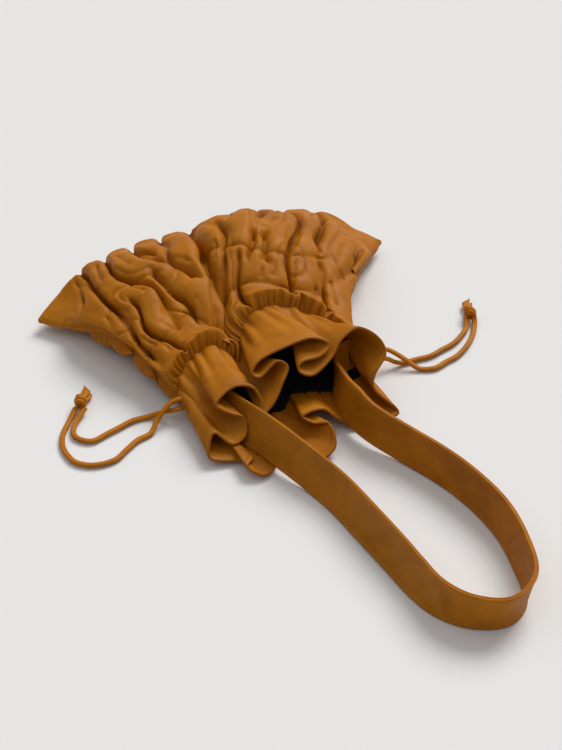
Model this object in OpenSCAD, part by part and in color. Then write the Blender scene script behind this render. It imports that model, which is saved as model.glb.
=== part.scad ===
// Ruched leather bucket bag, lying on its back panel with the shoulder strap laid out in front.
// +X runs across the bag, +Y towards its base seam, and +Z up from the surface that it lies on.
// The origin is on the underside of the back panel, between the neck and the base seam.

/* [Body] */
// Width of the base from ear to ear
base_w = 412; // [340:1:500]
// Length of the back panel from the neck to the ears
body_len = 205; // [170:1:250]
// How far the middle of the base seam bows out beyond the ears
base_bow = 36; // [10:1:60]
// Height of the filled body above the surface it lies on
body_h = 84; // [66:1:105]
// Thickness of the gathered leather panels
panel_t = 3; // [2:0.5:3.5]
// Thickness of the lining cloth
lining_t = 1.2; // [0.8:0.1:2]

/* [Neck and collar] */
// Width across the neck, where the drawstrings run
neck_w = 216; // [180:1:262]
// Height of the neck above the surface
neck_h = 58; // [52:1:70]
// How far the neck leans back towards the base for each millimetre of height
neck_tilt = 1.1; // [0.6:0.05:1.3]
// Length of the collar from the neck to its hem
collar_len = 76; // [62:1:92]
// Depth of the collar's frills at the hem
frill_depth = 7; // [2:0.5:9]
// Frills across each half of the collar
frill_count = 5; // [3:1:7]
// Width of the channel that the drawstrings run in
channel_w = 32; // [32:1:38]

/* [Strap] */
// Width of the shoulder strap
strap_w = 40; // [33:1:48]
// Thickness of the shoulder strap, both layers together
strap_t = 4; // [3:0.5:5]
// Distance from the strap's fold line to the end of its loop
strap_reach = 253; // [200:1:320]

/* [Drawstrings] */
// Diameter of the rolled leather drawstring
cord_d = 5.5; // [4.5:0.1:6.5]
// Radius of the knot that ends each drawstring
knot_r = 8; // [7:0.5:10]
// Diameter of the hole where a drawstring leaves the channel
exit_d = 17; // [15:1:20]

/* [Hidden] */

leather = "#b0701f";
leather_shade = "#8a5314";
black_cloth = "#1d1b1a";
elastic_cloth = "#d8d2c6";
thread = "#c98d3c";

fit_gap = 0.3;
facing_t = 1.5;
casing_t = 1.2;
elastic_t = 1;
elastic_w = 5;
thread_t = 0.6;
seam_strip_t = 2;
seam_strip_h = 7;

ear_y = 90;
neck_y = ear_y - body_len;
hinge_y = neck_y - collar_len - 39;
hinge_z = strap_w / 2;

across_steps = 28;
along_steps = 18;
collar_across_steps = 56;
collar_along_steps = 4;

// Layers inside the panels, measured inwards from the outer face
elastic_inset = panel_t + 1.5;
lining_inset = elastic_inset + elastic_t + 3.5;
lining_tuck = 16;
lining_start = 0.08;
facing_inset = panel_t + fit_gap;
cord_inset = panel_t + 0.8 + cord_d / 2;
casing_inset = cord_inset + cord_d / 2 + 2;
left_lane = 20;
right_lane = left_lane + cord_d + 1;
elastic_rows = [0.26, 0.5, 0.74];

function lerp(a, b, t) = a + (b - a) * t;
function ease(t) = t * t * (3 - 2 * t);
function unit(v) = v / norm(v);
function flatten(rows) = [for (row = rows) for (p = row) p];
function mirror_x(points) = [for (p = points) [-p.x, p.y]];
function backwards(points) = [for (i = [len(points) - 1:-1:0]) points[i]];

// Steps from -1 to 1 that crowd together at both ends, where the surfaces turn down
function across(n) = [for (i = [-n / 2:n / 2]) sin(90 * i / (n / 2))];
// Steps from 0 to 1 that crowd together at 1
function towards_base(n) = [for (i = [0:n]) sin(90 * i / n)];
function even(a, b, n) = [for (i = [0:n]) lerp(a, b, i / n)];

// ---- Body surfaces: u runs across from -1 to 1, v from the neck at 0 to the base at 1 ----

function half_width(v) = lerp(neck_w, base_w, 0.45 * v + 0.55 * pow(v, 4)) / 2;
function crown_h(v) = lerp(neck_h, body_h, ease(min(1, v / 0.5)));
function base_round(v) = v < 0.68 ? 1 : sqrt(max(0, 1 - pow((v - 0.68) / 0.32, 2)));
function arch(u, v) = pow(max(0, 1 - pow(abs(u), lerp(4, 2.3, v))), lerp(0.5, 0.65, v));

function front_z(u, v, inset, rim_z) =
    rim_z + base_round(v) * (crown_h(v) - inset - rim_z) * arch(u, v);

// A layer that stops short of the seams stays well out of the ears
function side_tuck(v, tuck) = tuck * (1 + 2 * pow(v, 4));

// The tuck is how far a layer stops short of the panels' seams
function front_point(u, v, inset, rim_z, tuck) =
    let (neck_edge = neck_y + neck_tilt * front_z(u, 0, 0, panel_t),
         base_edge = ear_y + base_bow * (1 - u * u) - tuck)
    [u * (half_width(v) - side_tuck(v, tuck)), lerp(neck_edge, base_edge, v),
     front_z(u, v, inset, rim_z)];

function front_grid(us, vs, inset, rim_z, tuck) =
    [for (v = vs) [for (u = us) front_point(u, v, inset, rim_z, tuck)]];

// One side of the back panel's outline, from the neck to the ear
function side_edge(inset, v0 = 0) =
    [for (v = even(v0, 1, 14))
        [half_width(v) - side_tuck(v, inset), lerp(neck_y, ear_y - inset, v)]];
function base_edge(inset) =
    [for (u = even(0.96, -0.96, 24))
        [u * (base_w / 2 - side_tuck(1, inset)), ear_y + base_bow * (1 - u * u) - inset]];
function outline(inset) =
    concat(side_edge(inset), base_edge(inset), backwards(mirror_x(side_edge(inset))));

// ---- Neck surfaces: u runs across, s is the distance from the neck line towards the hem ----

function frill(u, s) =
    frill_depth * pow(s / collar_len, 1.5) * (0.5 - 0.5 * cos(360 * frill_count * (u + 1) / 2))
    * (1 - pow(abs(u), 6));

function neck_front_point(u, s, inset, rim_z) =
    [u * (neck_w / 2 - inset), neck_y + neck_tilt * front_z(u, 0, 0, panel_t) - s,
     front_z(u, 0, inset, rim_z) - frill(u, s)];

function neck_back_point(u, s, inset) =
    [u * (neck_w / 2 - inset), neck_y - s, inset + frill(u, s) / 2];

function neck_front_grid(us, s0, s1, n, inset, rim_z) =
    [for (s = even(s1, s0, n)) [for (u = us) neck_front_point(u, s, inset, rim_z)]];
function neck_back_grid(us, s0, s1, n, inset) =
    [for (s = even(s1, s0, n)) [for (u = us) neck_back_point(u, s, inset)]];

// ---- Solids from grids and routes ----

// Closed solid between two grids of the same size. The rows run along +Y, the columns along +X,
// and the first grid is the upper one.
module shell(upper, lower) {
    rows = len(upper);
    cols = len(upper[0]);
    below = rows * cols;
    points = concat(flatten(upper), flatten(lower));
    top_faces = [for (i = [0:rows - 2]) for (j = [0:cols - 2])
        let (a = i * cols + j, b = a + cols) each [[a, b, b + 1], [a, b + 1, a + 1]]];
    bottom_faces = [for (f = top_faces) [f[0] + below, f[2] + below, f[1] + below]];
    last = (rows - 1) * cols;
    first_row = [for (j = [0:cols - 2]) [j, j + 1]];
    last_row = [for (j = [0:cols - 2]) [last + j + 1, last + j]];
    first_col = [for (i = [0:rows - 2]) [(i + 1) * cols, i * cols]];
    last_col = [for (i = [0:rows - 2]) [i * cols + cols - 1, (i + 1) * cols + cols - 1]];
    edge_faces = [for (e = concat(first_row, last_row, first_col, last_col))
        each [[e[0], e[1], e[1] + below], [e[0], e[1] + below, e[0] + below]]];
    polyhedron(points = points, faces = concat(edge_faces, bottom_faces, top_faces));
}

function tangent(points, i) =
    unit(points[min(i + 1, len(points) - 1)] - points[max(i - 1, 0)]);

// Round tube along a route. The route never runs along the side axis.
module tube(route, d, sides, side_axis = [0, 0, 1]) {
    rings = len(route);
    points = [for (i = [0:rings - 1])
        let (t = tangent(route, i), a = unit(cross(t, side_axis)), b = cross(a, t))
        for (k = [0:sides - 1])
            route[i] + d / 2 * (cos(360 * k / sides) * a + sin(360 * k / sides) * b)];
    walls = [for (i = [0:rings - 2]) for (k = [0:sides - 1])
        let (n = (k + 1) % sides, a = i * sides + k, b = i * sides + n)
        each [[a, b, b + sides], [a, b + sides, a + sides]]];
    start_cap = [for (k = [sides - 1:-1:0]) k];
    end_cap = [for (k = [0:sides - 1]) (rings - 1) * sides + k];
    polyhedron(points = points, faces = concat(walls, [start_cap, end_cap]));
}

// Smooth curve through a list of points
function spline_at(p, i, t) =
    let (a = p[max(i - 1, 0)], b = p[i], c = p[i + 1], d = p[min(i + 2, len(p) - 1)])
    0.5 * (2 * b + (c - a) * t + (2 * a - 5 * b + 4 * c - d) * t * t
           + (3 * b - a - 3 * c + d) * t * t * t);
function spline(p, first, last, n) =
    concat([for (i = [first:last - 1]) for (k = [0:n - 1]) spline_at(p, i, k / n)], [p[last]]);

// ---- Strap: its route, as x, y from the fold line, and the band's lower and upper edges ----

end_x = neck_w / 2 - panel_t - facing_t - 2 * fit_gap - strap_t / 2 - 5;
strap_route = [
    [-end_x, 86, 10, 26],
    [-end_x + 14, 71, 10, 31],
    [-66, 56, 10, 36],
    [-50, 32, 10, 38],
    [-32, 0, 0, strap_w],
    [-12, -0.20 * strap_reach, 0, strap_w],
    [0, -0.45 * strap_reach, 0, strap_w],
    [8, -0.70 * strap_reach, 0, strap_w],
    [25, -0.92 * strap_reach, 0, strap_w],
    [60, -strap_reach, 0, strap_w],
    [92, -0.88 * strap_reach, 0, strap_w],
    [105, -0.67 * strap_reach, 0, strap_w],
    [105, -0.45 * strap_reach, 0, strap_w],
    [92, -0.20 * strap_reach, 0, strap_w],
    [66, 0, 0, strap_w],
    [53, 28, 10, 38],
    [55, 48, 10, 38],
    [68, 64, 10, 34],
    [end_x - 10, 73, 10, 30],
    [end_x, 86, 10, 26],
];
left_fold = 4;
right_fold = 14;

function strap_path(first, last, n) = spline(strap_route, first, last, n);
function plan(p) = [p.x, p.y];
function right_side(path, i) =
    let (t = unit(plan(path[min(i + 1, len(path) - 1)]) - plan(path[max(i - 1, 0)])))
    [t.y, -t.x];

// Band along a path, from one offset to another on its right, between two heights on its width
module band(path, from, to, low, high) {
    function edge_row(offset, part) = [for (i = [0:len(path) - 1])
        let (p = plan(path[i]) + offset * right_side(path, i),
             bottom = max(0, path[i][2]), top = min(strap_w, path[i][3]))
        [p.x, hinge_y + p.y, lerp(bottom, top, part / strap_w)]];
    shell([edge_row(to, low), edge_row(to, high)], [edge_row(from, low), edge_row(from, high)]);
}

// Round barrel about the fold line, which the strap's swinging part turns in
module fold_barrel(r) {
    translate([-base_w / 2, hinge_y, hinge_z])
        rotate([0, 90, 0])
            cylinder(r = r, h = base_w, $fn = 48);
}

module beyond_fold() {
    translate([-base_w, hinge_y - 2 * strap_reach, -10])
        cube([2 * base_w, 2 * strap_reach, strap_w + 20]);
}

// Keeps what swings: everything beyond the fold line and the round end about it
module swinging_part() {
    intersection() {
        children();
        union() {
            beyond_fold();
            fold_barrel(hinge_z);
        }
    }
}

// ---- Drawstrings: routes from the exit hole, with the lead inside the channel first ----

exit_x = neck_w / 2;
exit_y = neck_y + 12;
exit_z = 17.5;
floor_z = cord_d / 2;
lead = 36;

function from_exit(side, points) =
    [for (p = points) [side * exit_x + p.x, exit_y + p.y, p.z]];

left_front_route = from_exit(-1, [
    [lead, 3, 21], [10, 3, 21], [-5, 3, 20], [-15, 0, 15], [-25, -5, 8], [-35, -15, floor_z],
    [-50, -20, floor_z], [-65, -30, floor_z], [-80, -40, floor_z], [-100, -40, floor_z],
    [-115, -30, floor_z], [-120, -15, floor_z], [-120, 0, floor_z], [-115, 15, floor_z],
    [-105, 30, floor_z], [-92, 46, 6],
]);
left_back_route = from_exit(-1, [
    [lead, -2, 14], [10, -2, 14], [-5, -2, 13], [-15, 5, 8], [-30, 10, floor_z],
    [-45, 10, floor_z], [-60, 5, floor_z], [-75, 0, floor_z], [-90, -5, floor_z],
    [-100, 0, floor_z], [-105, 10, floor_z], [-100, 25, floor_z], [-84, 42, 6],
]);
right_front_route = from_exit(1, [
    [-lead, 3, 21], [-10, 3, 21], [5, 3, 20], [15, 0, 15], [25, -10, 9], [35, -20, floor_z],
    [50, -25, floor_z], [65, -20, floor_z], [80, -15, floor_z], [95, -5, floor_z],
    [110, 10, floor_z], [120, 25, floor_z], [124, 34, 6],
]);
right_back_route = from_exit(1, [
    [-lead, -2, 14], [-10, -2, 14], [5, -3, 12], [15, -5, 6], [25, -5, floor_z],
    [40, -5, floor_z], [55, -5, floor_z], [70, 0, floor_z], [85, 5, floor_z],
    [100, 15, floor_z], [110, 25, floor_z], [116, 38, 6],
]);
left_knot_at = [-exit_x - 86, exit_y + 50];
right_knot_at = [exit_x + 122, exit_y + 40];

// Loop of one drawstring inside the channel: over the front, round the far side, under the back
function run_route(lane) =
    let (over = [for (u = [-0.62:0.31:0.62]) neck_front_point(u, lane, cord_inset, panel_t)],
         under = [for (u = [0.62:-0.31:-0.62]) neck_back_point(u, lane, cord_inset)],
         far = [for (u = [0.86, 0.97]) neck_front_point(u, lane, cord_inset, panel_t)],
         turn = [for (u = [0.97, 0.84]) neck_back_point(u, lane, cord_inset)])
    concat(over, far, turn, under);

// ---- Body ----

module front_panel() {
    us = across(across_steps);
    vs = towards_base(along_steps);
    color(leather)
        shell(front_grid(us, vs, 0, panel_t, 0), front_grid(us, vs, panel_t, panel_t, panel_t));
}

module back_panel() {
    color(leather_shade)
        linear_extrude(panel_t)
            polygon(outline(0));
}

// Strip folded over a seam, standing just outside the panels' edge
module seam_strip(edge) {
    last = len(edge) - 1;
    function side_of(i) =
        let (t = unit(edge[min(i + 1, last)] - edge[max(i - 1, 0)])) [t.y, -t.x];
    inner = [for (i = [0:last]) edge[i] + fit_gap * side_of(i)];
    outer = [for (i = [0:last]) edge[i] + (fit_gap + seam_strip_t) * side_of(i)];
    color(leather)
        linear_extrude(seam_strip_h)
            polygon(concat(inner, backwards(outer)));
}

module left_seam_strip() {
    seam_strip(backwards(mirror_x(side_edge(0, 0.22))));
}

module right_seam_strip() {
    seam_strip(side_edge(0, 0.22));
}

module base_seam_strip() {
    seam_strip(base_edge(0));
}

module front_lining() {
    us = across(across_steps - 4);
    vs = [for (v = towards_base(along_steps - 3)) lerp(lining_start, 1, v)];
    rim_z = lining_inset + lining_t;
    color(black_cloth)
        shell(front_grid(us, vs, lining_inset, rim_z, lining_tuck),
              front_grid(us, vs, lining_inset + lining_t, rim_z, lining_tuck + lining_t));
}

module back_lining() {
    color(black_cloth)
        translate([0, 0, lining_inset])
            linear_extrude(lining_t)
                polygon(outline(lining_tuck));
}

module front_elastics() {
    us = [for (u = across(across_steps)) if (abs(u) < 0.95) u];
    half = elastic_w / 2 / body_len;
    rim_z = panel_t + fit_gap;
    deep = elastic_inset + elastic_t;
    color(elastic_cloth)
        for (v = elastic_rows)
            shell(front_grid(us, [v - half, v + half], elastic_inset, rim_z, elastic_inset),
                  front_grid(us, [v - half, v + half], deep, rim_z, deep));
}

module back_elastics() {
    color(elastic_cloth)
        for (v = elastic_rows) {
            w = 1.8 * half_width(v);
            translate([-w / 2, lerp(neck_y, ear_y, v) - elastic_w / 2, panel_t])
                cube([w, elastic_w, elastic_t]);
        }
}

// ---- Neck and collar ----

// Columns of the neck's surfaces, out to a share of its half width
function neck_columns(spread) = [for (u = across(collar_across_steps)) if (abs(u) <= spread) u];

module front_neck_layer(s0, s1, inset, t, spread, n = collar_along_steps) {
    us = neck_columns(spread);
    shell(neck_front_grid(us, s0, s1, n, inset, panel_t),
          neck_front_grid(us, s0, s1, n, inset + t, panel_t));
}

module back_neck_layer(s0, s1, inset, t, spread, n = collar_along_steps) {
    us = neck_columns(spread);
    shell(neck_back_grid(us, s0, s1, n, inset + t), neck_back_grid(us, s0, s1, n, inset));
}

// Notches in the collar's sides that the drawstrings leave through
module exit_holes() {
    for (side = [-1, 1])
        translate([side * exit_x, exit_y, exit_z])
            rotate([0, 90, 0])
                cylinder(d = exit_d, h = 60, center = true, $fn = 32);
}

module front_collar() {
    color(leather)
        difference() {
            front_neck_layer(fit_gap, collar_len, 0, panel_t, 1);
            exit_holes();
        }
}

module back_collar() {
    color(leather_shade)
        back_neck_layer(0, collar_len, 0, panel_t, 1);
}

module front_facing() {
    color(leather)
        front_neck_layer(channel_w + 1, collar_len - 1, facing_inset, facing_t, 0.92);
}

module back_facing() {
    color(leather)
        back_neck_layer(channel_w + 1, collar_len - 1, facing_inset, facing_t, 0.96);
}

module front_casing() {
    color(black_cloth)
        front_neck_layer(0, channel_w, casing_inset, casing_t, 0.7);
}

module back_casing() {
    color(black_cloth)
        back_neck_layer(0, channel_w, casing_inset, casing_t, 0.7);
}

module hem_stitching() {
    s0 = collar_len - 5;
    color(thread) {
        front_neck_layer(s0, s0 + 1, -fit_gap - thread_t, thread_t, 0.9, 1);
        back_neck_layer(s0, s0 + 1, facing_inset + facing_t + fit_gap, thread_t, 0.9, 1);
    }
}

// ---- Drawstrings ----

module drawstring_run(lane) {
    color(leather)
        tube(run_route(lane), cord_d, 8, [0, 1, 0]);
}

module left_drawstring_run() {
    drawstring_run(left_lane);
}

module right_drawstring_run() {
    mirror([1, 0, 0])
        drawstring_run(right_lane);
}

module strand(route) {
    color(leather)
        tube(route, cord_d, 8);
}

module left_strand_front() {
    strand(left_front_route);
}

module left_strand_back() {
    strand(left_back_route);
}

module right_strand_front() {
    strand(right_front_route);
}

module right_strand_back() {
    strand(right_back_route);
}

// Knot with the cut tail of the drawstring beyond it
module knot(at, tail_angle) {
    tail_l = 26;
    tail_w = 8;
    tail = [[0, -tail_w / 2], [knot_r + tail_l - tail_w, -tail_w / 2],
            [knot_r + tail_l, tail_w / 2], [0, tail_w / 2]];
    color(leather)
        translate([at.x, at.y, 0]) {
            translate([0, 0, knot_r])
                sphere(r = knot_r, $fn = 32);
            rotate([0, 0, tail_angle])
                translate([0, 0, knot_r - cord_d / 2])
                    linear_extrude(cord_d)
                        polygon(tail);
        }
}

module left_knot() {
    knot(left_knot_at, 60);
}

module right_knot() {
    knot(right_knot_at, 66);
}

// ---- Strap ----

module strap_end(first, last) {
    color(leather)
        difference() {
            band(strap_path(first, last, 5), -strap_t / 2, strap_t / 2, 0, strap_w);
            beyond_fold();
            fold_barrel(hinge_z + 0.6);
        }
}

module left_strap_end() {
    strap_end(0, left_fold);
}

module right_strap_end() {
    strap_end(right_fold, len(strap_route) - 1);
}

// Stitch box on each end of the strap, on the face that looks into the bag
module stitch_box(path) {
    last = len(path) - 1;
    inward = path[0].x < 0 ? -1 : 1;
    row = inward < 0 ? [for (i = [0:3]) path[i]] : [for (i = [last - 3:last]) path[i]];
    face = -strap_t / 2 - fit_gap;
    for (low = [6, strap_w - 7])
        band(row, face - thread_t, face, low, low + 1);
}

module strap_end_stitching() {
    color(thread) {
        stitch_box(strap_path(0, left_fold, 5));
        stitch_box(strap_path(right_fold, len(strap_route) - 1, 5));
    }
}

module strap_layer(from, to) {
    swinging_part()
        band(strap_path(left_fold - 1, right_fold + 1, 4), from, to, 0, strap_w);
}

module strap_outer() {
    color(leather)
        strap_layer(0, strap_t / 2);
}

module strap_lining() {
    color(leather_shade)
        strap_layer(-strap_t / 2, 0);
}

// Two rows of stitching on each face of the strap, clear of the fold
module strap_stitching() {
    path = strap_path(left_fold + 1, right_fold - 1, 4);
    outer_face = strap_t / 2 + fit_gap;
    color(thread)
        for (low = [3, strap_w - 4]) {
            band(path, outer_face, outer_face + thread_t, low, low + 1);
            band(path, -outer_face - thread_t, -outer_face, low, low + 1);
        }
}

front_panel();
back_panel();
left_seam_strip();
right_seam_strip();
base_seam_strip();
front_lining();
back_lining();
front_elastics();
back_elastics();
front_collar();
back_collar();
front_facing();
back_facing();
front_casing();
back_casing();
hem_stitching();
left_drawstring_run();
right_drawstring_run();
left_strap_end();
right_strap_end();
strap_end_stitching();
strap_outer();
strap_lining();
strap_stitching();
left_strand_front();
left_strand_back();
left_knot();
right_strand_front();
right_strand_back();
right_knot();
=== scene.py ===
"""Ruched leather bucket bag lying on its back, with its strap laid out in front. Metres throughout."""
import math

import bmesh
import bpy
import numpy as np
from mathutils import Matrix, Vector


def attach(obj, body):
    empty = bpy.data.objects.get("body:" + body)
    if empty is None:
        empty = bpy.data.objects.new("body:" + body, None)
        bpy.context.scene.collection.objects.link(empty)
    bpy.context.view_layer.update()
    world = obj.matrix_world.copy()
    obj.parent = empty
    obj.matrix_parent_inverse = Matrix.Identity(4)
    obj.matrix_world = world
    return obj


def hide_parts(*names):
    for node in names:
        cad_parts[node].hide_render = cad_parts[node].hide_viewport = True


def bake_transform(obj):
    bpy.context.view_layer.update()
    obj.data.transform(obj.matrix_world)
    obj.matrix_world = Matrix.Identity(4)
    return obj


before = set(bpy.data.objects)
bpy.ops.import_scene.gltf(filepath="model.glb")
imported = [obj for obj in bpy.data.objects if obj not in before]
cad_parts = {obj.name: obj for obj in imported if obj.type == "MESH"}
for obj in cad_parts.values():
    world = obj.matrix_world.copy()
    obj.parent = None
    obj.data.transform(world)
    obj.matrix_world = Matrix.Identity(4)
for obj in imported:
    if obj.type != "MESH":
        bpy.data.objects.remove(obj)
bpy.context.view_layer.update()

MM = 0.001
LOWEST = 0.0002      # the lowest that a swept piece lies over the floor
LEATHER_LOWEST = 0.0006

# ---------------------------------------------------------------- camera, light and floor

CAMERA_AZIMUTH = math.radians(-22)
CAMERA_ELEVATION = math.radians(38)
CAMERA_DISTANCE = 1.9
CAMERA_LENS = 90
LOOK_AT = Vector((0.010, -0.077, 0))
FLOOR_Z = -0.0004
FLOOR_GREY = 0.80
WORLD_STRENGTH = 0.29


def make_camera():
    data = bpy.data.cameras.new("camera")
    data.lens = CAMERA_LENS
    data.sensor_width = 36
    camera = bpy.data.objects.new("camera", data)
    bpy.context.collection.objects.link(camera)
    back = Vector((math.sin(CAMERA_AZIMUTH) * math.cos(CAMERA_ELEVATION),
                   -math.cos(CAMERA_AZIMUTH) * math.cos(CAMERA_ELEVATION),
                   math.sin(CAMERA_ELEVATION)))
    camera.location = LOOK_AT + CAMERA_DISTANCE * back
    camera.rotation_euler = (-back).to_track_quat("-Z", "Y").to_euler()
    bpy.context.scene.camera = camera


def sun(name, direction, strength, spread, colour=(1, 1, 1)):
    """A sun as wide as spread, in degrees, which shines from a direction."""
    data = bpy.data.lights.new(name, "SUN")
    data.energy = strength
    data.angle = math.radians(spread)
    data.color = colour
    light = bpy.data.objects.new(name, data)
    light.rotation_euler = (-Vector(direction)).to_track_quat("-Z", "Y").to_euler()
    bpy.context.collection.objects.link(light)


def make_stage():
    material = bpy.data.materials.new("studio_floor")
    material.use_nodes = True
    shader = material.node_tree.nodes["Principled BSDF"]
    shader.inputs["Base Color"].default_value = (FLOOR_GREY, FLOOR_GREY, FLOOR_GREY, 1)
    shader.inputs["Roughness"].default_value = 0.9
    shader.inputs["Specular IOR Level"].default_value = 0.1
    bpy.ops.mesh.primitive_plane_add(size=30, location=(0, 0, FLOOR_Z))
    floor = bpy.context.object
    floor.name = "studio_floor"
    floor.data.materials.append(material)
    sun("key_light", (0.62, 0.50, 0.80), 2.35, 32, (1, 0.985, 0.955))
    sun("top_light", (-0.05, 0.15, 1.0), 0.55, 100)
    world = bpy.data.worlds.new("studio_air")
    world.use_nodes = True
    background = world.node_tree.nodes["Background"]
    background.inputs["Color"].default_value = (1, 1, 1, 1)
    background.inputs["Strength"].default_value = WORLD_STRENGTH
    bpy.context.scene.world = world


make_camera()
make_stage()
bpy.context.scene.view_settings.view_transform = "Standard"

# ---------------------------------------------------------------- small maths


def lerp(a, b, t):
    return a + (b - a) * t


def ease(t):
    t = np.clip(t, 0, 1)
    return t * t * (3 - 2 * t)


def unit(v):
    return v / np.maximum(np.linalg.norm(v, axis=-1, keepdims=True), 1e-12)


def distance_along(line):
    """Distance of each point of a polyline from its first point."""
    steps = np.linalg.norm(np.diff(line, axis=0), axis=1)
    return np.concatenate([[0], np.cumsum(steps)])


def looked_up(at, known, values):
    """Rows of values, known at some numbers, interpolated at others."""
    return np.stack([np.interp(at, known, values[:, k]) for k in range(values.shape[1])], axis=1)


def resample(dense, count):
    """count points evenly spaced along a polyline, both ends included."""
    along = distance_along(dense[:, :3])
    return looked_up(np.linspace(0, along[-1], count), along, dense)


def spline(points, count):
    """Catmull-Rom curve through points, sampled evenly along its length."""
    p = np.asarray(points, float)
    last = len(p) - 1
    t = np.linspace(0, 1, 24, endpoint=False)[:, None]
    out = []
    for i in range(last):
        a, b, c, d = p[max(i - 1, 0)], p[i], p[i + 1], p[min(i + 2, last)]
        out.append(0.5 * (2 * b + (c - a) * t + (2 * a - 5 * b + 4 * c - d) * t**2
                          + (3 * b - a - 3 * c + d) * t**3))
    return resample(np.vstack(out + [p[-1:]]), count)


def smooth_noise(shape, cells, seed):
    """Smooth random field from -1 to 1: random values on a coarse grid, interpolated by cosines."""
    r = np.random.default_rng(seed)
    grid = r.uniform(-1, 1, (cells[0] + 2, cells[1] + 2))
    ys = np.linspace(0, cells[0], shape[0])
    xs = np.linspace(0, cells[1], shape[1])
    iy, ix = ys.astype(int), xs.astype(int)
    fy, fx = ease(ys - iy)[:, None], ease(xs - ix)[None, :]
    a = grid[np.ix_(iy, ix)]
    b = grid[np.ix_(iy, ix + 1)]
    c = grid[np.ix_(iy + 1, ix)]
    d = grid[np.ix_(iy + 1, ix + 1)]
    return lerp(lerp(a, b, fx), lerp(c, d, fx), fy)


def new_object(name, mesh):
    obj = bpy.data.objects.new(name, mesh)
    bpy.context.collection.objects.link(obj)
    return obj


def grid_object(name, grid, closed_cols=False):
    """Smooth mesh object from a grid of points, rows by columns."""
    rows, cols = grid.shape[:2]
    index = np.arange(rows * cols).reshape(rows, cols)
    if closed_cols:
        index = np.hstack([index, index[:, :1]])
    a, b = index[:-1, :-1].ravel(), index[:-1, 1:].ravel()
    c, d = index[1:, 1:].ravel(), index[1:, :-1].ravel()
    mesh = bpy.data.meshes.new(name)
    mesh.from_pydata(grid.reshape(-1, 3).tolist(), [], np.stack([a, b, c, d], 1).tolist())
    mesh.polygons.foreach_set("use_smooth", [True] * len(mesh.polygons))
    mesh.update()
    return new_object(name, mesh)


# ---------------------------------------------------------------- leather that buckles


class Leather:
    """A grid of leather, relaxed over a core with position-based constraints."""

    def __init__(self, start, rest_across, rest_along, core, core_normal, most_height):
        self.x = start.copy()
        self.v = np.zeros_like(start)
        self.rest_across = rest_across
        self.rest_along = rest_along
        self.core = core
        self.normal = core_normal
        self.pinned = np.zeros(start.shape[:2], bool)
        self.most_height = most_height

    @staticmethod
    def pull(a, b, rest, stiffness, only_push=False):
        """Moves two matching sets of points towards their rest distance."""
        d = b - a
        length = np.sqrt((d * d).sum(-1, keepdims=True)) + 1e-9
        error = (length - rest[..., None]) / length
        if only_push:
            error = np.minimum(error, 0)
        move = 0.5 * stiffness * error * d
        a += move
        b -= move

    def stretch(self, axis, step, rest, stiffness, only_push=False):
        """Pulls points that lie step apart along an axis, in batches that share no point."""
        x = self.x if axis == 1 else self.x.swapaxes(0, 1)
        rest = rest if axis == 1 else rest.T
        for s in range(2 * step):
            a, b = x[:, s:-step:2 * step], x[:, s + step::2 * step]
            n = min(a.shape[1], b.shape[1])
            self.pull(a[:, :n], b[:, :n], rest[:, s::2 * step][:, :n], stiffness, only_push)

    def relax(self, steps, bend, far_bend, pressure, gap, damping=0.85):
        """Steps the leather on: it keeps its lengths, resists bending and is pushed outwards."""
        x, la, ll = self.x, self.rest_across, self.rest_along
        pinned_at = x[self.pinned].copy()
        diagonal = np.sqrt(la[:-1, :] ** 2 + ll[:, :-1] ** 2)
        four_across = la[:, :-3] + la[:, 1:-2] + la[:, 2:-1] + la[:, 3:]
        four_along = ll[:-3] + ll[1:-2] + ll[2:-1] + ll[3:]
        for _ in range(steps):
            before = x.copy()
            x += damping * self.v + pressure * self.normal
            self.stretch(1, 1, la, 0.9)
            self.stretch(0, 1, ll, 0.9)
            for s in (0, 1):
                m = len(x[s:-1:2])
                self.pull(x[s:-1:2, :-1], x[s + 1::2, 1:][:m], diagonal[s::2][:m], 0.25)
                self.pull(x[s:-1:2, 1:], x[s + 1::2, :-1][:m], diagonal[s::2][:m], 0.25)
            self.stretch(1, 2, 0.97 * (la[:, :-1] + la[:, 1:]), bend, True)
            self.stretch(0, 2, 0.97 * (ll[:-1] + ll[1:]), bend, True)
            self.stretch(1, 4, 0.8 * four_across, far_bend, True)
            self.stretch(0, 4, 0.9 * four_along, far_bend, True)
            self.hold(gap)
            x[self.pinned] = pinned_at
            self.v = x - before

    def hold(self, gap):
        """Keeps the leather off its core, under its cap, and in order so that it can't cross itself."""
        x = self.x
        height = ((x - self.core) * self.normal).sum(-1)
        wanted = np.clip(height, 0, self.most_height)
        x += (0.6 * (wanted - height))[..., None] * self.normal
        for axis in (0, 1):
            core_step = unit(np.diff(self.core, axis=axis))
            a = x[:-1] if axis == 0 else x[:, :-1]
            b = x[1:] if axis == 0 else x[:, 1:]
            order = ((b - a) * core_step).sum(-1)
            short = np.maximum(gap - order, 0)[..., None] * core_step * 0.25
            a -= short
            b += short
        x[..., 2] = np.maximum(x[..., 2], LEATHER_LOWEST)


def finer(field):
    """The same field on a grid with a new row and column between each two."""
    rows, cols = field.shape[:2]
    out = np.zeros((2 * rows - 1, 2 * cols - 1) + field.shape[2:])
    out[::2, ::2] = field
    out[1::2, ::2] = 0.5 * (field[:-1] + field[1:])
    out[:, 1::2] = 0.5 * (out[:, :-1:2] + out[:, 2::2])
    return out


def softened(grid, rounds):
    """Averages a grid's inner points with their neighbours."""
    out = grid.copy()
    for _ in range(rounds):
        around = out[:-2, 1:-1] + out[2:, 1:-1] + out[1:-1, :-2] + out[1:-1, 2:]
        out[1:-1, 1:-1] = 0.5 * out[1:-1, 1:-1] + 0.125 * around
    return out


# ---------------------------------------------------------------- the filled body under the leather

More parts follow.
